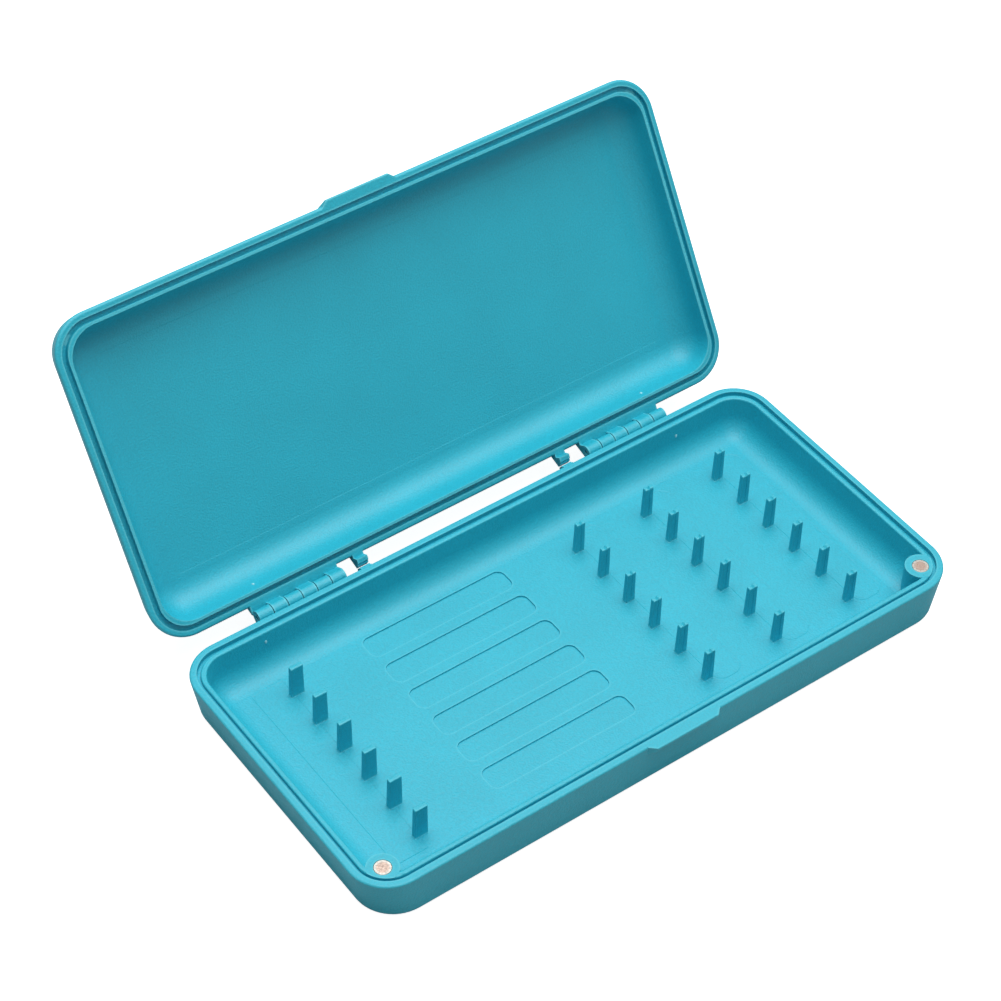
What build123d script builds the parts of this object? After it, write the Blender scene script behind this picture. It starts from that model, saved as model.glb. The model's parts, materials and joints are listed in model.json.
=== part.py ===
"""Slim plastic tackle box for fishing rigs, standing open on its hinge stops.

Millimetres, +Z up. The origin is the centre of the tray's underside. +X runs along the
hinge and +Y points towards the hinge. The lid is drawn closed, then swung open about the
hinge axis, which is its rest pose here.
"""
import math
import os

from build123d import *

os.makedirs("parts", exist_ok=True)

# Overall sizes
LENGTH = 201.0
WIDTH = 97.5
CORNER_RADIUS = 12.0
TRAY_HEIGHT = 14.8
LID_HEIGHT = 12.4
FLOOR_THICKNESS = 2.4
CEILING_THICKNESS = 2.2
OPEN_ANGLE = 122.0

# Gap between the two rims when the box is shut
RIM_GAP = 0.3

# How far the lid's edge stands inside the tray's, level with it at the hinge
LID_END_SETBACK = 0.25
LID_FRONT_SETBACK = 1.3

# Tray walls: the ends lean in more than the long sides do
TRAY_END_DRAFT = 2.6
TRAY_SIDE_DRAFT = 0.3
TRAY_FOOT_RADIUS = 2.0
TRAY_EDGE_RADIUS = 0.6
TRAY_HOLLOW_TIGHTENING = 4.0
TRAY_HOLLOW_RADIUS = CORNER_RADIUS - TRAY_HOLLOW_TIGHTENING
TRAY_HOLLOW_DRAFT = 8.0
TRAY_COVE_RADIUS = 7.0

# Lid walls
LID_WALL_DRAFT = 16.0
LID_CROWN_RADIUS = 8.0
LID_EDGE_RADIUS = 0.8
LID_HOLLOW_TIGHTENING = 3.0
LID_HOLLOW_RADIUS = CORNER_RADIUS - LID_HOLLOW_TIGHTENING
LID_HOLLOW_DRAFT = 8.0
LID_COVE_RADIUS = 7.7

# Rim profile, each width counted inwards from the last one
TRAY_LAND = 2.1
TRAY_GROOVE = 1.05
TRAY_LIP = 1.4
TRAY_LIP_DROP = 0.35
TRAY_LIP_RADIUS = 0.5
LID_LAND = 2.1
LID_GROOVE = 1.6
LID_RIDGE = 0.8
LID_RIDGE_DROP = 0.3
GROOVE_DEPTH = 1.5

# Hinge
KNUCKLE_RADIUS = 2.1
KNUCKLE_COUNT = 6
KNUCKLE_PITCH = 4.85
KNUCKLE_GAP = 0.3
KNUCKLE_START = 42.8
AXIS_BEHIND_WALL = KNUCKLE_RADIUS + KNUCKLE_GAP
AXIS_BELOW_RIM = 1.95
ARM_RUNOUT = 4.0
ARM_BITE = 1.4
ARM_LEDGE = 0.4
WEB_WALL = 0.5
WEB_REACH = AXIS_BEHIND_WALL + WEB_WALL
PIN_RADIUS = 0.75
PIN_END_GAP = 0.5
PIN_CLEARANCE = 0.05
PIN_CHAMFER = 0.2
STOP_START = 34.0
STOP_WIDTH = 3.5
STOP_REACH = 2.5
STOP_GAP = 0.18

# Magnets and the tray's bosses, each inset counted along the corner's diagonal
MAGNET_RADIUS = 2.5
MAGNET_THICKNESS = 2.0
MAGNET_INSET = 6.626
MAGNET_CHAMFER = 0.2
LID_MAGNET_RADIUS = 1.5
LID_MAGNET_THICKNESS = 1.5
LID_MAGNET_DEPTH = 1.9
LID_MAGNET_INSET = 3.3733
BOSS_WALL = 2.0
BOSS_CLEARANCE = 0.3
BOSS_HEIGHT = 9.5

# Thumb tabs
TAB_ROOT_WIDTH = 24.6
TAB_TIP_WIDTH = 20.6
TAB_REACH = 1.8
TAB_LIP = 0.9
TAB_HEIGHT = 2.8
TAB_BITE = 1.0
LID_TAB_TUCK = 0.6

# Pegs
PEG_COUNT = 6
PEG_PITCH = 11.85
PEG_HEIGHT = 11.3
PEG_THICKNESS = 1.8
PEG_DRAFT = 0.8
PEG_FOOT = 0.2
LINE_PEG_X = -72.9
LINE_PEG_Y = 0.15
LINE_PEG_WIDTH = 4.2
HOOK_PEG_XS = (23.6, 48.6, 75.4)
HOOK_PEG_Y = -1.0
HOOK_PEG_WIDTH = 3.2
NOTCH_WIDTH = 1.0
NOTCH_DEPTH = 0.5
FLUTE_WIDTH = 0.6
FLUTE_DEPTH = 0.22
PEG_EDGE_RADIUS = 0.2

# Shallow recesses in the tray floor
RECESS_COUNT = 6
RECESS_LENGTH = 48.6
RECESS_WIDTH = 7.8
RECESS_PITCH = 11.4
RECESS_X = -23.9
RECESS_Y = 3.1
RECESS_DEPTH = 0.5
RECESS_RADIUS = 2.5

# Heights and the hinge axis that follow from the sizes above
rim_z = TRAY_HEIGHT
lid_z = TRAY_HEIGHT + RIM_GAP
lid_top_z = lid_z + LID_HEIGHT
axis_y = WIDTH / 2 + AXIS_BEHIND_WALL
axis_z = rim_z - AXIS_BELOW_RIM
hinge_axis = Axis((0, axis_y, axis_z), (1, 0, 0))
hinge_plane = Plane(origin=(0, axis_y, axis_z), x_dir=(0, 1, 0), z_dir=(1, 0, 0))
lid_ledge = AXIS_BELOW_RIM + RIM_GAP
lid_length = LENGTH - 2 * LID_END_SETBACK
lid_width = WIDTH - LID_FRONT_SETBACK
lid_y = LID_FRONT_SETBACK / 2
tray_inset = TRAY_LAND + TRAY_GROOVE + TRAY_LIP
lid_inset = LID_LAND + LID_GROOVE + LID_RIDGE
lip_z = rim_z - TRAY_LIP_DROP
ridge_z = lid_z - LID_RIDGE_DROP
peg_top_z = FLOOR_THICKNESS + PEG_HEIGHT
boss_radius = MAGNET_RADIUS + BOSS_WALL
boss_top_z = ridge_z - BOSS_CLEARANCE

hinge_length = KNUCKLE_COUNT * KNUCKLE_PITCH - KNUCKLE_GAP

# How far each half's wall has leaned in at the foot of the hinge arms
arm_foot = KNUCKLE_RADIUS + ARM_RUNOUT
tray_fall = TRAY_SIDE_DRAFT * (arm_foot + AXIS_BELOW_RIM) / TRAY_HEIGHT
lid_fall = (arm_foot - lid_ledge) * math.tan(math.radians(LID_WALL_DRAFT))


def cove_limit(hollow_radius, depth, draft):
    """The largest cove that the rounded corners of a drafted hollow leave room for."""
    lean = math.radians(draft)
    corner_at_floor = hollow_radius - depth * math.tan(lean)
    return 0.98 * corner_at_floor / (1 / math.cos(lean) - math.tan(lean))


def tray_outline(inset, radius=None):
    """The tray's rounded outline, drawn a given distance inside its outer edge."""
    radius = radius or CORNER_RADIUS - inset
    return RectangleRounded(LENGTH - 2 * inset, WIDTH - 2 * inset, radius)


def lid_outline(inset, radius=None):
    """The lid's rounded outline, drawn a given distance inside its outer edge."""
    radius = radius or CORNER_RADIUS - inset
    with Locations((0, lid_y)):
        return RectangleRounded(lid_length - 2 * inset, lid_width - 2 * inset, radius)


def rim_band(outline, outer, inner):
    """A band round the rim between two insets, used for the lips and the grooves."""
    with BuildSketch() as band:
        outline(outer)
        with BuildSketch(mode=Mode.SUBTRACT):
            outline(inner)
    return band.sketch


def half_knuckle(side, ledge, fall):
    """Knuckle and arm drawn across the hinge axis: side is -1 for the tray and 1 for the lid."""
    slope = KNUCKLE_RADIUS * math.sin(math.radians(45))
    wall = -AXIS_BEHIND_WALL
    with BuildSketch(Plane.XY) as section:
        Circle(KNUCKLE_RADIUS)
        with BuildLine():
            Polyline(
                (-KNUCKLE_RADIUS, 0),
                (-KNUCKLE_RADIUS, ledge),
                (wall - ARM_BITE, ledge),
                (wall - fall - ARM_BITE, side * arm_foot),
                (wall - fall, side * arm_foot),
                (slope, side * slope),
                (0, 0),
                close=True,
            )
        make_face()
    return section.sketch


def web_section(ledge, fall):
    """Strip that joins the lid's knuckles, drawn across the hinge axis above the tray's rim."""
    wall = -AXIS_BEHIND_WALL
    with BuildSketch(Plane.XY) as section:
        with BuildLine():
            Polyline(
                (-KNUCKLE_GAP, ledge),
                (-KNUCKLE_GAP, WEB_REACH),
                (wall - fall, arm_foot),
                (wall - fall - ARM_BITE, arm_foot),
                (wall - ARM_BITE, ledge),
                close=True,
            )
        make_face()
    return section.sketch


def stop_section(side, ledge, fall):
    """Stop tab drawn across the hinge axis: its slanted face meets the other half's when open."""
    lean = math.radians(OPEN_ANGLE / 2)
    wall = -AXIS_BEHIND_WALL
    with BuildSketch(Plane.XY) as section:
        with BuildLine():
            Polyline(
                (-KNUCKLE_RADIUS, side * STOP_GAP),
                (-STOP_GAP, side * STOP_GAP),
                (STOP_REACH * math.cos(lean) - STOP_GAP, side * STOP_REACH * math.sin(lean)),
                (wall - fall, side * arm_foot),
                (wall - fall - ARM_BITE, side * arm_foot),
                (wall - ARM_BITE, ledge),
                (-KNUCKLE_RADIUS, ledge),
                close=True,
            )
        make_face()
    return section.sketch


def knuckle_starts(first):
    """Starts along X of every second knuckle, in both groups, from a first one."""
    left = [-KNUCKLE_START - KNUCKLE_PITCH * (n + 1) for n in range(first, KNUCKLE_COUNT, 2)]
    right = [KNUCKLE_START + KNUCKLE_PITCH * n for n in range(first, KNUCKLE_COUNT, 2)]
    return left + right


def front_corners(length, front_y, inset):
    """The two places in a half's front corners where its magnets go, on their diagonals."""
    from_edge = CORNER_RADIUS - (CORNER_RADIUS - inset) * math.sqrt(0.5)
    x = length / 2 - from_edge
    y = front_y + from_edge
    return [(-x, y), (x, y)]


tray_magnets = front_corners(LENGTH, -WIDTH / 2, MAGNET_INSET)
lid_magnets = front_corners(lid_length, lid_y - lid_width / 2, LID_MAGNET_INSET)

# Hollow of the tray, drawn down from the rim, with a coved floor
tray_depth = rim_z - FLOOR_THICKNESS
tray_cove = min(TRAY_COVE_RADIUS, cove_limit(TRAY_HOLLOW_RADIUS, tray_depth, TRAY_HOLLOW_DRAFT))
with BuildPart() as tray_hollow:
    with BuildSketch(Plane(origin=(0, 0, rim_z), x_dir=(1, 0, 0), z_dir=(0, 0, -1))):
        tray_outline(tray_inset, TRAY_HOLLOW_RADIUS)
    extrude(amount=tray_depth, taper=TRAY_HOLLOW_DRAFT)
    fillet(tray_hollow.faces().sort_by(Axis.Z)[0].edges(), tray_cove)

# Hollow of the lid, drawn shut, so its coved ceiling is at the top
lid_depth = lid_top_z - CEILING_THICKNESS - ridge_z
lid_cove = min(LID_COVE_RADIUS, cove_limit(LID_HOLLOW_RADIUS, lid_depth, LID_HOLLOW_DRAFT))
with BuildPart() as lid_hollow:
    with BuildSketch(Plane.XY.offset(ridge_z)):
        lid_outline(lid_inset, LID_HOLLOW_RADIUS)
    extrude(amount=lid_depth, taper=LID_HOLLOW_DRAFT)
    fillet(lid_hollow.faces().sort_by(Axis.Z)[-1].edges(), lid_cove)

# Thumb tab of the tray: a lip under the rim with a sloped underside and slanted ends
with BuildPart() as tray_tab:
    with BuildSketch(Plane.YZ):
        with BuildLine():
            Polyline(
                (TAB_BITE - WIDTH / 2, rim_z),
                (-WIDTH / 2 - TAB_REACH, rim_z),
                (-WIDTH / 2 - TAB_REACH, rim_z - TAB_LIP),
                (TAB_BITE - WIDTH / 2, rim_z - TAB_HEIGHT - TAB_BITE),
                close=True,
            )
        make_face()
    extrude(amount=TAB_ROOT_WIDTH / 2, both=True)
    fillet(tray_tab.edges().filter_by(Axis.X).sort_by(Axis.Y)[:2], TAB_LIP * 0.4)
    with BuildSketch(Plane.XY.offset(rim_z)):
        with BuildLine():
            Polyline(
                (-TAB_ROOT_WIDTH / 2, TAB_BITE - WIDTH / 2),
                (-TAB_ROOT_WIDTH / 2, -WIDTH / 2),
                (-TAB_TIP_WIDTH / 2, -WIDTH / 2 - TAB_REACH),
                (TAB_TIP_WIDTH / 2, -WIDTH / 2 - TAB_REACH),
                (TAB_ROOT_WIDTH / 2, -WIDTH / 2),
                (TAB_ROOT_WIDTH / 2, TAB_BITE - WIDTH / 2),
                close=True,
            )
        make_face()
    extrude(amount=-2 * TAB_HEIGHT, mode=Mode.INTERSECT)

# Thumb tab of the lid: the tray's, turned over about the middle of the rim gap and tucked in
with BuildPart() as lid_tab:
    with Locations(Location((0, LID_FRONT_SETBACK + LID_TAB_TUCK, rim_z + lid_z), (0, 180, 0))):
        add(tray_tab.part)

# Tray: drafted walls, rounded foot, grooved rim, corner bosses, tab, knuckles and stops
with BuildPart() as base_tray:
    with BuildSketch(Plane.XZ):
        with BuildLine():
            Polyline(
                (-LENGTH / 2, rim_z),
                (LENGTH / 2, rim_z),
                (LENGTH / 2 - TRAY_END_DRAFT, 0),
                (TRAY_END_DRAFT - LENGTH / 2, 0),
                close=True,
            )
        make_face()
    extrude(amount=WIDTH, both=True)
    with BuildSketch(Plane.YZ):
        with BuildLine():
            Polyline(
                (-WIDTH / 2, rim_z),
                (WIDTH / 2, rim_z),
                (WIDTH / 2 - TRAY_SIDE_DRAFT, 0),
                (TRAY_SIDE_DRAFT - WIDTH / 2, 0),
                close=True,
            )
        make_face()
    extrude(amount=LENGTH, both=True, mode=Mode.INTERSECT)
    upright = base_tray.edges().filter_by(Axis.X, reverse=True).filter_by(Axis.Y, reverse=True)
    fillet(upright, CORNER_RADIUS)
    fillet(base_tray.faces().sort_by(Axis.Z)[0].edges(), TRAY_FOOT_RADIUS)
    fillet(base_tray.faces().sort_by(Axis.Z)[-1].edges(), TRAY_EDGE_RADIUS)

    # Hollow, with an inner lip a little below the outer land
    with BuildSketch(Plane.XY.offset(rim_z)):
        tray_outline(TRAY_LAND)
    extrude(amount=-TRAY_LIP_DROP, mode=Mode.SUBTRACT)
    add(tray_hollow.part, mode=Mode.SUBTRACT)
    with BuildSketch(Plane.XY.offset(rim_z)):
        add(rim_band(tray_outline, TRAY_LAND, TRAY_LAND + TRAY_GROOVE))
    extrude(amount=-GROOVE_DEPTH, mode=Mode.SUBTRACT)
    lip_top = base_tray.faces().filter_by_position(Axis.Z, lip_z - 0.01, lip_z + 0.01)[0]
    fillet(lip_top.edges(), TRAY_LIP_RADIUS)

    # Magnet bosses, rising out of the corner coves to the top of the lip
    with BuildSketch(Plane.XY.offset(boss_top_z)):
        with Locations(*tray_magnets):
            Circle(boss_radius)
    extrude(amount=-BOSS_HEIGHT)
    with BuildSketch(Plane.XY.offset(boss_top_z)):
        with Locations(*tray_magnets):
            Circle(MAGNET_RADIUS)
    extrude(amount=-MAGNET_THICKNESS, mode=Mode.SUBTRACT)
    with BuildSketch(Plane.XY.offset(rim_z)):
        add(rim_band(tray_outline, TRAY_LAND, TRAY_LAND + TRAY_GROOVE))
    extrude(amount=-GROOVE_DEPTH, mode=Mode.SUBTRACT)

    # Shallow recesses in the floor, one beside each row of pegs
    with BuildSketch(Plane.XY.offset(FLOOR_THICKNESS)):
        with Locations((RECESS_X, RECESS_Y)):
            with GridLocations(0, RECESS_PITCH, 1, RECESS_COUNT):
                RectangleRounded(RECESS_LENGTH, RECESS_WIDTH, RECESS_RADIUS)
    extrude(amount=-RECESS_DEPTH, mode=Mode.SUBTRACT)

    # Tab, knuckles and stops
    add(tray_tab.part)
    for start in knuckle_starts(1):
        with BuildSketch(hinge_plane.offset(start + KNUCKLE_GAP / 2)):
            add(half_knuckle(-1, -ARM_LEDGE, tray_fall))
        extrude(amount=KNUCKLE_PITCH - KNUCKLE_GAP)
    for start in (-STOP_START - STOP_WIDTH, STOP_START):
        with BuildSketch(hinge_plane.offset(start)):
            add(stop_section(-1, -ARM_LEDGE, tray_fall))
        extrude(amount=STOP_WIDTH)
    with BuildSketch(hinge_plane.offset(-LENGTH / 2)):
        Circle(PIN_RADIUS)
    extrude(amount=LENGTH, mode=Mode.SUBTRACT)
base_tray.part.label = "base_tray"
export_step(base_tray.part, "parts/base_tray.step")

# Lid, drawn shut: sloped walls, rounded crown, grooved rim with a ridge, tab, knuckles and stops
with BuildPart() as lid:
    with BuildSketch(Plane.XY.offset(lid_z)):
        lid_outline(0)
    extrude(amount=LID_HEIGHT, taper=LID_WALL_DRAFT)
    fillet(lid.faces().sort_by(Axis.Z)[-1].edges(), LID_CROWN_RADIUS)
    fillet(lid.faces().sort_by(Axis.Z)[0].edges(), LID_EDGE_RADIUS)

    # Ridge that drops over the tray's lip, behind a groove
    with BuildSketch(Plane.XY.offset(lid_z + GROOVE_DEPTH)):
        add(rim_band(lid_outline, lid_inset - LID_RIDGE, lid_inset + LID_RIDGE))
    extrude(amount=-GROOVE_DEPTH - LID_RIDGE_DROP)
    with BuildSketch(Plane.XY.offset(lid_z)):
        add(rim_band(lid_outline, LID_LAND, lid_inset - LID_RIDGE))
    extrude(amount=GROOVE_DEPTH, mode=Mode.SUBTRACT)
    add(lid_hollow.part, mode=Mode.SUBTRACT)

    # Pockets moulded round the two hidden magnets
    with BuildSketch(Plane.XY.offset(lid_z + LID_MAGNET_DEPTH)):
        with Locations(*lid_magnets):
            Circle(LID_MAGNET_RADIUS)
    extrude(amount=LID_MAGNET_THICKNESS, mode=Mode.SUBTRACT)

    # Tab, knuckles and stops
    add(lid_tab.part)
    for start in (-KNUCKLE_START - KNUCKLE_GAP / 2 - hinge_length, KNUCKLE_START + KNUCKLE_GAP / 2):
        with BuildSketch(hinge_plane.offset(start)):
            add(web_section(lid_ledge, lid_fall))
        extrude(amount=hinge_length)
    for start in knuckle_starts(1):
        with BuildSketch(hinge_plane.offset(start - KNUCKLE_GAP / 2)):
            Circle(KNUCKLE_RADIUS + KNUCKLE_GAP)
        extrude(amount=KNUCKLE_PITCH + KNUCKLE_GAP, mode=Mode.SUBTRACT)
    for start in knuckle_starts(0):
        with BuildSketch(hinge_plane.offset(start + KNUCKLE_GAP / 2)):
            add(half_knuckle(1, lid_ledge, lid_fall))
        extrude(amount=KNUCKLE_PITCH - KNUCKLE_GAP)
    for start in (-STOP_START - STOP_WIDTH, STOP_START):
        with BuildSketch(hinge_plane.offset(start)):
            add(stop_section(1, lid_ledge, lid_fall))
        extrude(amount=STOP_WIDTH)
    with BuildSketch(hinge_plane.offset(-LENGTH / 2)):
        Circle(PIN_RADIUS + PIN_CLEARANCE)
    extrude(amount=LENGTH, mode=Mode.SUBTRACT)
lid_open = lid.part.rotate(hinge_axis, -OPEN_ANGLE)
lid_open.label = "lid"
export_step(lid_open, "parts/lid.step")

# Hinge pins, pressed into the tray's knuckles and running free in the lid's
pin_length = hinge_length - 2 * PIN_END_GAP
pin_start = KNUCKLE_START + KNUCKLE_GAP / 2 + PIN_END_GAP
for name, start in (("hinge_pin_left", -pin_start - pin_length), ("hinge_pin_right", pin_start)):
    with BuildPart() as hinge_pin:
        with BuildSketch(hinge_plane.offset(start)):
            Circle(PIN_RADIUS)
        extrude(amount=pin_length)
        chamfer(hinge_pin.edges().filter_by(GeomType.CIRCLE), PIN_CHAMFER)
    hinge_pin.part.label = name
    export_step(hinge_pin.part, "parts/" + name + ".step")

# Magnets: discs pressed flush into the tray's bosses, and smaller ones moulded into the lid
sides = ("left", "right")
for side, spot in zip(sides, tray_magnets):
    with BuildPart() as tray_magnet:
        with BuildSketch(Plane.XY.offset(boss_top_z - MAGNET_THICKNESS)):
            with Locations(spot):
                Circle(MAGNET_RADIUS)
        extrude(amount=MAGNET_THICKNESS)
        chamfer(tray_magnet.edges().filter_by(GeomType.CIRCLE).group_by(Axis.Z)[-1], MAGNET_CHAMFER)
    tray_magnet.part.label = "tray_magnet_" + side
    export_step(tray_magnet.part, "parts/tray_magnet_" + side + ".step")

for side, spot in zip(sides, lid_magnets):
    with BuildPart() as lid_magnet:
        with BuildSketch(Plane.XY.offset(lid_z + LID_MAGNET_DEPTH)):
            with Locations(spot):
                Circle(LID_MAGNET_RADIUS)
        extrude(amount=LID_MAGNET_THICKNESS)
    magnet_open = lid_magnet.part.rotate(hinge_axis, -OPEN_ANGLE)
    magnet_open.label = "lid_magnet_" + side
    export_step(magnet_open, "parts/lid_magnet_" + side + ".step")

# One flat topped line peg, with a small flared foot and drafted sides
with BuildPart() as line_peg:
    with BuildSketch(Plane.XY.offset(FLOOR_THICKNESS)):
        Rectangle(LINE_PEG_WIDTH, PEG_THICKNESS)
    extrude(amount=PEG_HEIGHT, taper=PEG_DRAFT)
    fillet(line_peg.edges().group_by(Axis.Z)[-1], PEG_EDGE_RADIUS)
    with BuildSketch(Plane.XY.offset(FLOOR_THICKNESS)):
        Rectangle(LINE_PEG_WIDTH + 2 * PEG_FOOT, PEG_THICKNESS + 2 * PEG_FOOT)
    extrude(amount=PEG_FOOT, taper=45)

# One hook peg, narrower, with a notch in its top and a straight flute down each face
with BuildPart() as hook_peg:
    with BuildSketch(Plane.XY.offset(FLOOR_THICKNESS)):
        Rectangle(HOOK_PEG_WIDTH, PEG_THICKNESS)
    extrude(amount=PEG_HEIGHT, taper=PEG_DRAFT)
    with BuildSketch(Plane.XY.offset(FLOOR_THICKNESS)):
        with Locations((0, -PEG_THICKNESS / 2), (0, PEG_THICKNESS / 2)):
            Rectangle(FLUTE_WIDTH, 2 * FLUTE_DEPTH)
    extrude(amount=PEG_HEIGHT, mode=Mode.SUBTRACT)
    with BuildSketch(Plane.XZ):
        with BuildLine():
            Polyline(
                (-NOTCH_WIDTH / 2, peg_top_z),
                (0, peg_top_z - NOTCH_DEPTH),
                (NOTCH_WIDTH / 2, peg_top_z),
                close=True,
            )
        make_face()
    extrude(amount=PEG_THICKNESS, both=True, mode=Mode.SUBTRACT)
    with BuildSketch(Plane.XY.offset(FLOOR_THICKNESS)):
        Rectangle(HOOK_PEG_WIDTH + 2 * PEG_FOOT, PEG_THICKNESS + 2 * PEG_FOOT)
    extrude(amount=PEG_FOOT, taper=45)

# The columns of pegs, moulded with the tray but kept as their own nodes
columns = [("line_pegs_left", (LINE_PEG_X, LINE_PEG_Y), line_peg)]
columns += [("hook_pegs_" + str(n + 1), (x, HOOK_PEG_Y), hook_peg) for n, x in enumerate(HOOK_PEG_XS)]
for name, middle, peg in columns:
    with BuildPart() as column:
        with Locations(middle):
            with GridLocations(0, PEG_PITCH, 1, PEG_COUNT):
                add(peg.part)
    column.part.label = name
    export_step(column.part, "parts/" + name + ".step")
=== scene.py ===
import json
import math

import bmesh
import bpy
from mathutils import Matrix, Vector


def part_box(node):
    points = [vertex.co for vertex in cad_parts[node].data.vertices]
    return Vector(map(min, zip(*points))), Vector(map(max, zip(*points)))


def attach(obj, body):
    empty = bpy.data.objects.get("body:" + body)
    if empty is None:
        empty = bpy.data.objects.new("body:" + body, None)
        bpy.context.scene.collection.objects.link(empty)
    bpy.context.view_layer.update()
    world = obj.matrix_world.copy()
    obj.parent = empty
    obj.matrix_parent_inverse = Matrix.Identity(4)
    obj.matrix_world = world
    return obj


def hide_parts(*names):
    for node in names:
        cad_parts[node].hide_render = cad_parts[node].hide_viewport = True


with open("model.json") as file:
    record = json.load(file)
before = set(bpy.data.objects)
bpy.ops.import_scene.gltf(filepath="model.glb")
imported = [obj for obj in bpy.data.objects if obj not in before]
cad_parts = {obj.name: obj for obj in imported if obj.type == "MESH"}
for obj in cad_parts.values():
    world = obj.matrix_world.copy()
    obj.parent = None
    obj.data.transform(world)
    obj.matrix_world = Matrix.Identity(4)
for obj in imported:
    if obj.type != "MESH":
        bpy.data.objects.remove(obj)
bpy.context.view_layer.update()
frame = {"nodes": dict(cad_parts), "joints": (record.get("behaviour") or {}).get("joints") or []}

# Camera: a long lens looking down over the front left corner of the open box,
# rolled by two degrees, as the photograph was taken.
view = bpy.data.cameras.new("camera")
view.lens = 101.2
view.sensor_width = 36.0
view.clip_start = 0.01
view.clip_end = 20.0
camera = bpy.data.objects.new("camera", view)
camera.location = (-0.33573, -0.40215, 0.59491)
camera.rotation_euler = [math.radians(a) for a in (44.342, -1.383, -36.067)]
bpy.context.collection.objects.link(camera)
bpy.context.scene.camera = camera

# Studio sky: plain white to the lens and in reflections, and dimmer as a light.
scene = bpy.context.scene
scene.view_settings.view_transform = "Standard"
world = bpy.data.worlds.new("studio")
world.use_nodes = True
scene.world = world
t = world.node_tree
t.nodes.clear()
out = t.nodes.new("ShaderNodeOutputWorld")
mix = t.nodes.new("ShaderNodeMixShader")
room = t.nodes.new("ShaderNodeBackground")
room.inputs["Color"].default_value = (1.0, 1.0, 1.0, 1.0)
room.inputs["Strength"].default_value = 0.17
seen = t.nodes.new("ShaderNodeBackground")
seen.inputs["Color"].default_value = (1.0, 1.0, 1.0, 1.0)
seen.inputs["Strength"].default_value = 1.0
ray = t.nodes.new("ShaderNodeLightPath")
either = t.nodes.new("ShaderNodeMath")
either.operation = "MAXIMUM"
t.links.new(ray.outputs["Is Camera Ray"], either.inputs[0])
t.links.new(ray.outputs["Is Glossy Ray"], either.inputs[1])
t.links.new(either.outputs[0], mix.inputs[0])
t.links.new(room.outputs[0], mix.inputs[1])
t.links.new(seen.outputs[0], mix.inputs[2])
t.links.new(mix.outputs[0], out.inputs[0])

# Studio floor: white paper that reads as plain white wherever the box doesn't shade it.
paper = bpy.data.materials.new("paper_floor")
paper.use_nodes = True
t = paper.node_tree
t.nodes.clear()
out = t.nodes.new("ShaderNodeOutputMaterial")
matt = t.nodes.new("ShaderNodeBsdfDiffuse")
matt.inputs["Color"].default_value = (0.55, 0.55, 0.55, 1.0)
glow = t.nodes.new("ShaderNodeEmission")
glow.inputs["Color"].default_value = (1.0, 1.0, 1.0, 1.0)
glow.inputs["Strength"].default_value = 0.92
both = t.nodes.new("ShaderNodeAddShader")
pick = t.nodes.new("ShaderNodeMixShader")
ray = t.nodes.new("ShaderNodeLightPath")
t.links.new(matt.outputs[0], both.inputs[0])
t.links.new(glow.outputs[0], both.inputs[1])
t.links.new(ray.outputs["Is Camera Ray"], pick.inputs[0])
t.links.new(matt.outputs[0], pick.inputs[1])
t.links.new(both.outputs[0], pick.inputs[2])
t.links.new(pick.outputs[0], out.inputs[0])
sheet = bpy.data.meshes.new("floor")
sheet.from_pydata([(-6, -6, 0), (6, -6, 0), (6, 6, 0), (-6, 6, 0)], [], [(0, 1, 2, 3)])
sheet.materials.append(paper)
floor = bpy.data.objects.new("floor", sheet)
bpy.context.collection.objects.link(floor)

# Studio lamp: one large soft box overhead, a little towards the camera's right.
lamp = bpy.data.lights.new("overhead_box", "AREA")
lamp.shape = "RECTANGLE"
lamp.size = 1.4
lamp.size_y = 1.2
lamp.energy = 21.4
holder = bpy.data.objects.new("overhead_box", lamp)
holder.location = (0.12, 0.05, 1.3)
holder.rotation_euler = (-holder.location).to_track_quat("-Z", "Y").to_euler()
bpy.context.collection.objects.link(holder)

# Tray: one turquoise polypropylene moulding with a coved floor, a grooved rim, a thumb
# tab, corner bosses and its half of the hinge. The mould was spark eroded, so the plastic
# has a fine matt grain, and its floor has faint strips beside the columns of pegs.


turquoise = (0.012, 0.42, 0.55)
# Paler turquoise painted onto convex edges as a highlight, standing in for light caught on the rounded
# rims.
edge_highlight_turquoise = (0.14, 0.64, 0.73, 1.0)


def mottle(t, place, scale, detail=2.0):
    """A noise of one scale, read at a place on the piece."""
    noise = t.nodes.new("ShaderNodeTexNoise")
    noise.inputs["Scale"].default_value = scale
    noise.inputs["Detail"].default_value = detail
    t.links.new(place, noise.inputs["Vector"])
    return noise.outputs["Fac"]


def spread(t, value, low, high, start=0.0, end=1.0):
    """Turns a value that runs from start to end into one that runs from low to high."""
    ranged = t.nodes.new("ShaderNodeMapRange")
    ranged.inputs["From Min"].default_value = start
    ranged.inputs["From Max"].default_value = end
    ranged.inputs["To Min"].default_value = low
    ranged.inputs["To Max"].default_value = high
    t.links.new(value, ranged.inputs["Value"])
    return ranged.outputs["Result"]


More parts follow.
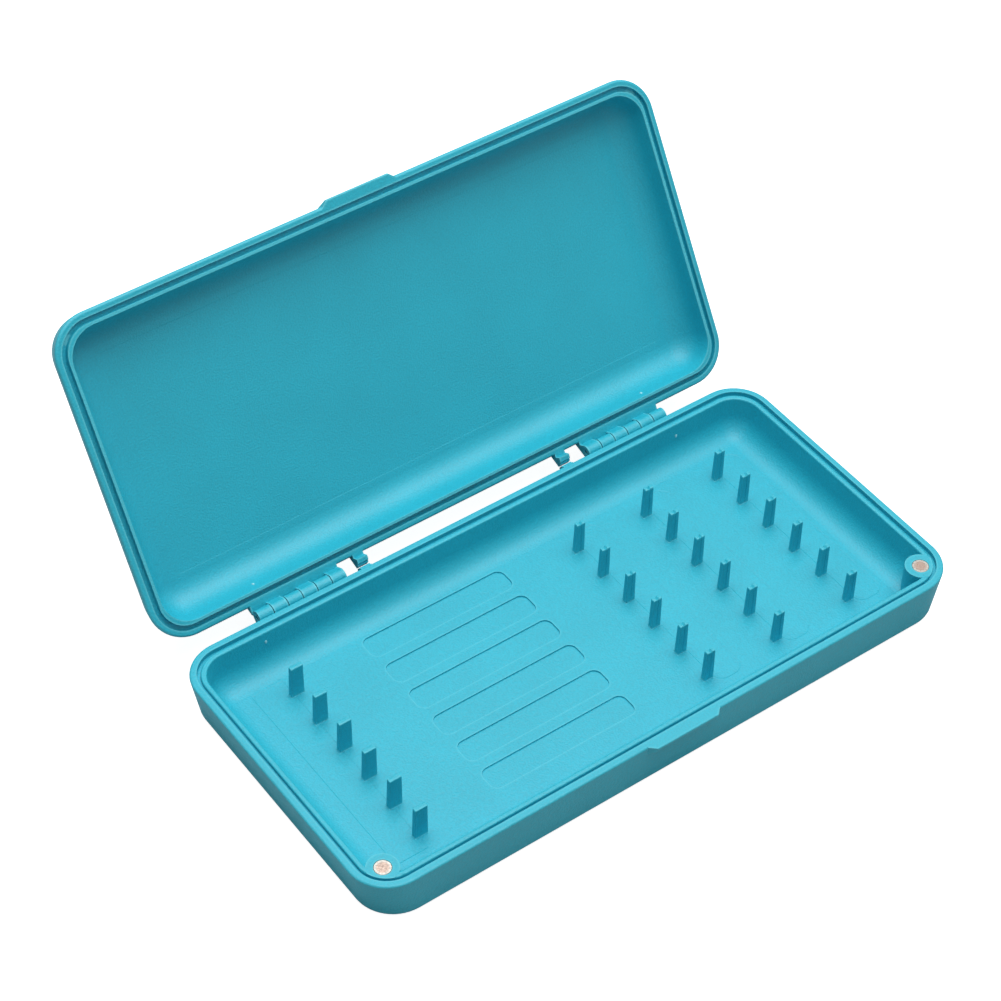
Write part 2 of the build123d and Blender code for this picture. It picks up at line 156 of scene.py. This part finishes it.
def moulded_plastic(name, edges, flow=(1.0, 1.0, 1.0), turn=0.0, hinge=(0.0, 0.0, 0.0)):
    """Turquoise plastic with a matt grain, a colour drawn out along the flow, and a painted highlight
    that makes its convex edges that much paler. The pattern is laid out on the shut box and turned with
    a piece that rests open."""
    plastic = bpy.data.materials.new(name)
    plastic.use_nodes = True
    t = plastic.node_tree
    shader = t.nodes["Principled BSDF"]
    shader.inputs["Specular IOR Level"].default_value = 0.62
    place = t.nodes.new("ShaderNodeTexCoord")
    shut = t.nodes.new("ShaderNodeMapping")
    shut.name = "place when shut"
    axis = Vector(hinge)
    shut.inputs["Rotation"].default_value = (turn, 0.0, 0.0)
    shut.inputs["Location"].default_value = axis - Matrix.Rotation(turn, 3, "X") @ axis
    t.links.new(place.outputs["Object"], shut.inputs["Vector"])
    drawn = t.nodes.new("ShaderNodeMapping")
    drawn.inputs["Scale"].default_value = flow
    t.links.new(shut.outputs["Vector"], drawn.inputs["Vector"])
    tint = t.nodes.new("ShaderNodeValToRGB")
    for stop, where, strength in zip(tint.color_ramp.elements, (0.3, 0.7), (0.965, 1.035)):
        stop.position = where
        stop.color = (*[c * strength for c in turquoise], 1.0)
    t.links.new(mottle(t, drawn.outputs["Vector"], 45.0, detail=3.0), tint.inputs["Fac"])
    grain = mottle(t, shut.outputs["Vector"], 1900.0)
    flecked = t.nodes.new("ShaderNodeVectorMath")
    flecked.operation = "SCALE"
    t.links.new(tint.outputs["Color"], flecked.inputs[0])
    t.links.new(spread(t, grain, 0.92, 1.08, start=0.3, end=0.7), flecked.inputs["Scale"])
    # Painted highlight: an inside ambient occlusion mask finds the convex edges, and the colour there is
    # painted paler turquoise in place of light on the rounded rims.
    corner = t.nodes.new("ShaderNodeAmbientOcclusion")
    corner.inside = True
    corner.samples = 6
    corner.inputs["Distance"].default_value = 0.0007
    painted_edge_highlight = t.nodes.new("ShaderNodeMix")
    painted_edge_highlight.data_type = "RGBA"
    painted_edge_highlight.inputs["B"].default_value = edge_highlight_turquoise
    t.links.new(spread(t, corner.outputs["AO"], 0.0, edges, start=0.95, end=0.45), painted_edge_highlight.inputs["Factor"])
    t.links.new(flecked.outputs[0], painted_edge_highlight.inputs["A"])
    t.links.new(painted_edge_highlight.outputs["Result"], shader.inputs["Base Color"])
    t.links.new(spread(t, grain, 0.42, 0.58), shader.inputs["Roughness"])
    bump = t.nodes.new("ShaderNodeBump")
    bump.name = "grain bump"
    bump.inputs["Strength"].default_value = 0.7
    bump.inputs["Distance"].default_value = 0.00016
    t.links.new(grain, bump.inputs["Height"])
    t.links.new(bump.outputs["Normal"], shader.inputs["Normal"])
    return plastic


def inside_strip(t, spot, middle, size, radius):
    """How far each spot lies inside one strip with rounded corners."""
    offset = t.nodes.new("ShaderNodeVectorMath")
    offset.operation = "SUBTRACT"
    offset.inputs[1].default_value = (*middle, 0.0)
    t.links.new(spot, offset.inputs[0])
    flat = t.nodes.new("ShaderNodeVectorMath")
    flat.operation = "MULTIPLY"
    flat.inputs[1].default_value = (1.0, 1.0, 0.0)
    t.links.new(offset.outputs[0], flat.inputs[0])
    fold = t.nodes.new("ShaderNodeVectorMath")
    fold.operation = "ABSOLUTE"
    t.links.new(flat.outputs[0], fold.inputs[0])
    past = t.nodes.new("ShaderNodeVectorMath")
    past.operation = "SUBTRACT"
    past.inputs[1].default_value = (size[0] / 2 - radius, size[1] / 2 - radius, 0.0)
    t.links.new(fold.outputs[0], past.inputs[0])
    outside = t.nodes.new("ShaderNodeVectorMath")
    outside.operation = "MAXIMUM"
    outside.inputs[1].default_value = (0.0, 0.0, 0.0)
    t.links.new(past.outputs[0], outside.inputs[0])
    reach = t.nodes.new("ShaderNodeVectorMath")
    reach.operation = "LENGTH"
    t.links.new(outside.outputs[0], reach.inputs[0])
    inside = t.nodes.new("ShaderNodeMath")
    inside.operation = "SUBTRACT"
    inside.inputs[0].default_value = radius
    t.links.new(reach.outputs["Value"], inside.inputs[1])
    return inside.outputs[0]


def sunk_strips(plastic, strips, depth):
    """Presses faint strips into a moulded plastic, as bump and not as shape."""
    t = plastic.node_tree
    spot = t.nodes["place when shut"].outputs["Vector"]
    slope = 0.00012
    total = None
    for middle, size, radius in strips:
        step = t.nodes.new("ShaderNodeMapRange")
        step.interpolation_type = "SMOOTHSTEP"
        step.inputs["From Min"].default_value = -slope
        step.inputs["From Max"].default_value = slope
        step.inputs["To Min"].default_value = 0.0
        step.inputs["To Max"].default_value = -1.0
        t.links.new(inside_strip(t, spot, middle, size, radius), step.inputs["Value"])
        if total is None:
            total = step.outputs["Result"]
        else:
            add = t.nodes.new("ShaderNodeMath")
            add.operation = "ADD"
            t.links.new(total, add.inputs[0])
            t.links.new(step.outputs["Result"], add.inputs[1])
            total = add.outputs[0]
    sunk = t.nodes.new("ShaderNodeBump")
    sunk.inputs["Strength"].default_value = 1.0
    sunk.inputs["Distance"].default_value = depth
    t.links.new(total, sunk.inputs["Height"])
    t.links.new(sunk.outputs["Normal"], t.nodes["grain bump"].inputs["Normal"])


def finish_node(node, material):
    """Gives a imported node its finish."""
    for slot in frame["nodes"][node].material_slots:
        slot.material = material


line_strip = ((-0.0789, 0.0005), (0.0102, 0.0700), 0.0003)
hook_strips = [((x, 0.0003), (0.0094, 0.0684), 0.0035) for x in (0.0300, 0.0552, 0.0818)]
tray_plastic = moulded_plastic("tray_plastic", edges=0.42)
sunk_strips(tray_plastic, [line_strip, *hook_strips], depth=0.00009)
finish_node("base_tray", tray_plastic)

# Pegs: flat blades moulded in one with the tray, six to a column. The left column holds
# the looped ends of the lines and has plain tops; the three columns of hook pegs are
# narrower, with a small notch in the top and a flute down each face.


def peg_mesh(name, width, thickness, notch, flute):
    """One drafted peg with softened edges, drawn at the origin with its foot on the floor."""
    foot, top = (corner[2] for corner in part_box("line_pegs_left"))
    soft = 0.00022
    draft = math.tan(math.radians(0.8))
    flute_half = 0.00028
    notch_half = 0.0005
    notch_fall = 0.0012
    across = (0.0, 0.00025, 0.0003, 0.0005, 0.00075)
    rings = [(foot, 0.00016), (foot + 0.00006, 0.00007), (foot + 0.00018, 0.0)]
    rings += [(z, 0.0) for z in (foot + 0.004, top - notch_fall, top - soft)]
    rings += [(top - soft * (1 - math.sin(a)), -soft * (1 - math.cos(a))) for a in (0.5, 1.0, 1.57)]
    mesh = bmesh.new()
    loops = []
    for z, grow in rings:
        lean = draft * (z - foot)
        w = width / 2 - lean + grow
        d = thickness / 2 - lean + grow
        face = [(x, d - (flute if x < flute_half else 0.0)) for x in across]
        turns = (0.0, 0.52, 1.05, 1.57)
        edge = [(w - soft * (1 - math.sin(a)), d - soft * (1 - math.cos(a))) for a in turns]
        right = face + edge
        left = [(-x, y) for x, y in right[:0:-1]]
        near_top = min(1.0, max(0.0, 1 - (top - z) / notch_fall))
        loop = []
        for sign in (-1, 1):
            row = []
            for x, y in left + right:
                drop = notch * near_top * max(0.0, 1 - abs(x) / notch_half)
                row.append(mesh.verts.new((x, sign * y, z - drop)))
            loop.append(row)
        loops.append(loop)
    for low, high in zip(loops, loops[1:]):
        for side in (0, 1):
            for i in range(len(low[side]) - 1):
                a, b, c, d = low[side][i], low[side][i + 1], high[side][i + 1], high[side][i]
                mesh.faces.new((a, b, c, d) if side == 0 else (d, c, b, a))
        mesh.faces.new((low[0][-1], low[1][-1], high[1][-1], high[0][-1]))
        mesh.faces.new((low[1][0], low[0][0], high[0][0], high[1][0]))
    cap = loops[-1]
    for i in range(len(cap[0]) - 1):
        mesh.faces.new((cap[0][i], cap[0][i + 1], cap[1][i + 1], cap[1][i]))
    base = loops[0]
    for i in range(len(base[0]) - 1):
        mesh.faces.new((base[1][i], base[1][i + 1], base[0][i + 1], base[0][i]))
    data = bpy.data.meshes.new(name)
    mesh.normal_update()
    mesh.to_mesh(data)
    mesh.free()
    data.shade_smooth()
    data.set_sharp_from_angle(angle=math.radians(35))
    return data


def peg_column():
    """Geometry nodes that set one peg out in a straight column."""
    tree = bpy.data.node_groups.new("peg_column", "GeometryNodeTree")
    kinds = {
        "Peg": "NodeSocketGeometry",
        "Count": "NodeSocketInt",
        "Pitch": "NodeSocketFloat",
        "Middle": "NodeSocketVector",
        "Material": "NodeSocketMaterial",
    }
    for label, kind in kinds.items():
        tree.interface.new_socket(label, in_out="INPUT", socket_type=kind)
    tree.interface.new_socket("Pegs", in_out="OUTPUT", socket_type="NodeSocketGeometry")
    given = tree.nodes.new("NodeGroupInput")
    result = tree.nodes.new("NodeGroupOutput")
    gaps = tree.nodes.new("ShaderNodeMath")
    gaps.operation = "SUBTRACT"
    gaps.inputs[1].default_value = 1.0
    tree.links.new(given.outputs["Count"], gaps.inputs[0])
    run = tree.nodes.new("ShaderNodeMath")
    run.operation = "MULTIPLY"
    tree.links.new(gaps.outputs[0], run.inputs[0])
    tree.links.new(given.outputs["Pitch"], run.inputs[1])
    half_run = tree.nodes.new("ShaderNodeMath")
    half_run.operation = "MULTIPLY"
    half_run.inputs[1].default_value = 0.5
    tree.links.new(run.outputs[0], half_run.inputs[0])
    back = tree.nodes.new("ShaderNodeCombineXYZ")
    tree.links.new(half_run.outputs[0], back.inputs["Y"])
    start = tree.nodes.new("ShaderNodeVectorMath")
    start.operation = "SUBTRACT"
    tree.links.new(given.outputs["Middle"], start.inputs[0])
    tree.links.new(back.outputs[0], start.inputs[1])
    step = tree.nodes.new("ShaderNodeCombineXYZ")
    tree.links.new(given.outputs["Pitch"], step.inputs["Y"])
    line = tree.nodes.new("GeometryNodeMeshLine")
    tree.links.new(given.outputs["Count"], line.inputs["Count"])
    tree.links.new(start.outputs[0], line.inputs["Start Location"])
    tree.links.new(step.outputs[0], line.inputs["Offset"])
    copies = tree.nodes.new("GeometryNodeInstanceOnPoints")
    tree.links.new(line.outputs["Mesh"], copies.inputs["Points"])
    tree.links.new(given.outputs["Peg"], copies.inputs["Instance"])
    real = tree.nodes.new("GeometryNodeRealizeInstances")
    tree.links.new(copies.outputs["Instances"], real.inputs["Geometry"])
    paint = tree.nodes.new("GeometryNodeSetMaterial")
    tree.links.new(real.outputs["Geometry"], paint.inputs["Geometry"])
    tree.links.new(given.outputs["Material"], paint.inputs["Material"])
    tree.links.new(paint.outputs["Geometry"], result.inputs[0])
    return tree


peg_plastic = moulded_plastic("peg_plastic", edges=0.35, flow=(70.0, 70.0, 2.0))
column_nodes = peg_column()
sockets = {i.name: i.identifier for i in column_nodes.interface.items_tree if i.in_out == "INPUT"}
line_peg = peg_mesh("line_peg", width=0.0042, thickness=0.0018, notch=0.0, flute=0.0)
hook_peg = peg_mesh("hook_peg", width=0.0032, thickness=0.0018, notch=0.0004, flute=0.00012)
for node, peg in (
    ("line_pegs_left", line_peg),
    ("hook_pegs_1", hook_peg),
    ("hook_pegs_2", hook_peg),
    ("hook_pegs_3", hook_peg),
):
    low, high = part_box(node)
    column = bpy.data.objects.new("moulded_" + node, peg.copy())
    bpy.context.collection.objects.link(column)
    laid = column.modifiers.new("column", "NODES")
    laid.node_group = column_nodes
    laid[sockets["Count"]] = 6
    laid[sockets["Pitch"]] = 0.01185
    laid[sockets["Middle"]] = ((low[0] + high[0]) / 2, (low[1] + high[1]) / 2, 0.0)
    laid[sockets["Material"]] = peg_plastic
    done = column.evaluated_get(bpy.context.evaluated_depsgraph_get())
    column.data = bpy.data.meshes.new_from_object(done)
    column.modifiers.remove(laid)
    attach(column, "tray")
    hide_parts(node)

# Magnets: neodymium discs, nickel plated over copper, with a bright rim. The plating has
# worn through to the copper over the middle of each face.
nickel = bpy.data.materials.new("worn_nickel")
nickel.use_nodes = True
t = nickel.node_tree
shader = t.nodes["Principled BSDF"]
shader.inputs["Metallic"].default_value = 1.0
place = t.nodes.new("ShaderNodeTexCoord")
low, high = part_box("tray_magnet_right")
fold = t.nodes.new("ShaderNodeVectorMath")
fold.operation = "ABSOLUTE"
t.links.new(place.outputs["Object"], fold.inputs[0])
centre = t.nodes.new("ShaderNodeVectorMath")
centre.operation = "SUBTRACT"
centre.inputs[1].default_value = (abs(low[0] + high[0]) / 2, abs(low[1] + high[1]) / 2, 0.0)
t.links.new(fold.outputs[0], centre.inputs[0])
flat = t.nodes.new("ShaderNodeVectorMath")
flat.operation = "MULTIPLY"
flat.inputs[1].default_value = (1.0, 1.0, 0.0)
t.links.new(centre.outputs[0], flat.inputs[0])
out_from = t.nodes.new("ShaderNodeVectorMath")
out_from.operation = "LENGTH"
t.links.new(flat.outputs[0], out_from.inputs[0])
scratch = mottle(t, place.outputs["Object"], 1800.0, detail=4.0)
ragged = t.nodes.new("ShaderNodeMath")
ragged.operation = "MULTIPLY_ADD"
ragged.inputs[1].default_value = 0.0016
t.links.new(scratch, ragged.inputs[0])
t.links.new(out_from.outputs["Value"], ragged.inputs[2])
rim = spread(t, ragged.outputs[0], 0.0, 1.0, start=0.0023, end=0.0029)
plate = t.nodes.new("ShaderNodeMix")
plate.data_type = "RGBA"
plate.inputs["A"].default_value = (0.34, 0.26, 0.22, 1.0)
plate.inputs["B"].default_value = (0.40, 0.40, 0.37, 1.0)
t.links.new(rim, plate.inputs["Factor"])
t.links.new(plate.outputs["Result"], shader.inputs["Base Color"])
t.links.new(spread(t, scratch, 0.25, 0.7, start=0.35, end=0.65), shader.inputs["Roughness"])
for node in ("tray_magnet_left", "tray_magnet_right", "lid_magnet_left", "lid_magnet_right"):
    finish_node(node, nickel)

# Hinge pins: cut lengths of bright drawn steel wire, hidden but for their ends.
steel = bpy.data.materials.new("drawn_steel")
steel.use_nodes = True
t = steel.node_tree
shader = t.nodes["Principled BSDF"]
shader.inputs["Metallic"].default_value = 1.0
shader.inputs["Base Color"].default_value = (0.6, 0.6, 0.61, 1.0)
place = t.nodes.new("ShaderNodeTexCoord")
stretch = t.nodes.new("ShaderNodeMapping")
stretch.inputs["Scale"].default_value = (60.0, 6000.0, 6000.0)
t.links.new(place.outputs["Object"], stretch.inputs["Vector"])
die_lines = mottle(t, stretch.outputs["Vector"], 1.0)
t.links.new(spread(t, die_lines, 0.2, 0.4), shader.inputs["Roughness"])
for node in ("hinge_pin_left", "hinge_pin_right"):
    finish_node(node, steel)

# Lid: a second moulding of the same plastic, standing open on its stops. Its ceiling has
# the faint outline of the mould's core, so the pattern is drawn shut and turned with it.
hinge = frame["joints"][0]
opening = math.radians(hinge["range_deg"][1])
core_outline = ((0.0, 0.0006), (0.1692, 0.0665), 0.0003)
lid_plastic = moulded_plastic("lid_plastic", edges=0.8, turn=opening, hinge=hinge["pos_m"])
sunk_strips(lid_plastic, [core_outline], depth=0.00005)
finish_node("lid", lid_plastic)

# Gate marks: tiny shiny pips left where the plastic was fed in, two on the hinge side of
# each half, trimmed by hand.
gate = bpy.data.materials.new("gate_mark")
gate.use_nodes = True
t = gate.node_tree
shader = t.nodes["Principled BSDF"]
shader.inputs["Roughness"].default_value = 0.2
place = t.nodes.new("ShaderNodeTexCoord")
tint = t.nodes.new("ShaderNodeValToRGB")
tint.color_ramp.elements[0].color = (0.10, 0.55, 0.66, 1.0)
tint.color_ramp.elements[1].color = (0.55, 0.85, 0.90, 1.0)
t.links.new(mottle(t, place.outputs["Object"], 4000.0), tint.inputs["Fac"])
t.links.new(tint.outputs["Color"], shader.inputs["Base Color"])
pip = (0.0004, 0.0006, 0.00025, 1.0)
for body, normal, spots in (
    ("tray", (0.0, -0.99, 0.14), ((-0.07364, 0.04367, 0.01104), (0.07106, 0.04355, 0.01014))),
    ("lid", (0.0, 0.41, 0.91), ((-0.06722, 0.06002, 0.01608), (0.0695, 0.05909, 0.0165))),
):
    mesh = bmesh.new()
    lay = Vector(normal).to_track_quat("Z", "Y").to_matrix().to_4x4()
    for spot in spots:
        dome = Matrix.Translation(spot) @ lay @ Matrix.Diagonal(pip)
        bmesh.ops.create_uvsphere(mesh, u_segments=16, v_segments=8, radius=1.0, matrix=dome)
    data = bpy.data.meshes.new("gate_marks_" + body)
    mesh.to_mesh(data)
    mesh.free()
    data.shade_smooth()
    data.materials.append(gate)
    marks = bpy.data.objects.new("gate_marks_" + body, data)
    bpy.context.collection.objects.link(marks)
    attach(marks, body)
